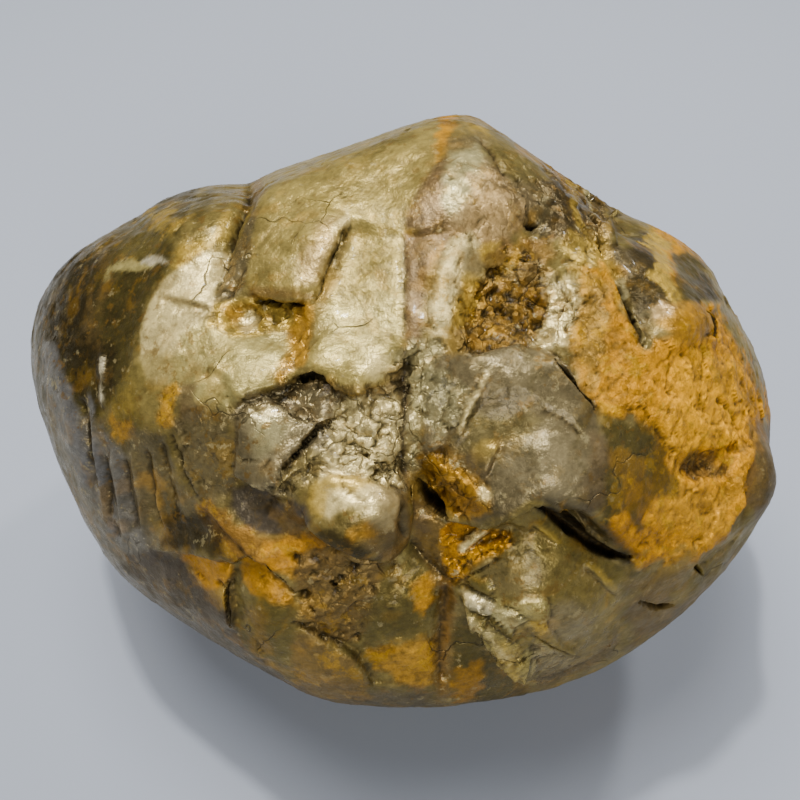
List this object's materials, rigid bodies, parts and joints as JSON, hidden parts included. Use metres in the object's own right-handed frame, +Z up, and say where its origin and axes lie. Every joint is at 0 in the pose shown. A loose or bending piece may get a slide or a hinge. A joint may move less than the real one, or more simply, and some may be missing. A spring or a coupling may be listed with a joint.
{
  "type": "brecciated jasper stone",
  "caption": "Rough hand-sized brecciated jasper, river-worn, with healed angular fragments, open clefts, glossy olive-grey faces and grainy ochre ground.",
  "frame": {"origin": "middle of the stone's outer size in plan, on the flat worn base", "axes": "+X along the stone's long axis, towards the ochre end; +Y to the back; +Z up; the show face looks towards -Y and +Z"},
  "size_m": [0.1432, 0.1191, 0.102],
  "materials": {
    "jasper": "wet-glossy mottled olive, grey and khaki jasper with grainy ochre and rust-filled fractures"
  },
  "bodies": {
    "root": {"jasper_stone": "jasper"}
  },
  "joints": []
}
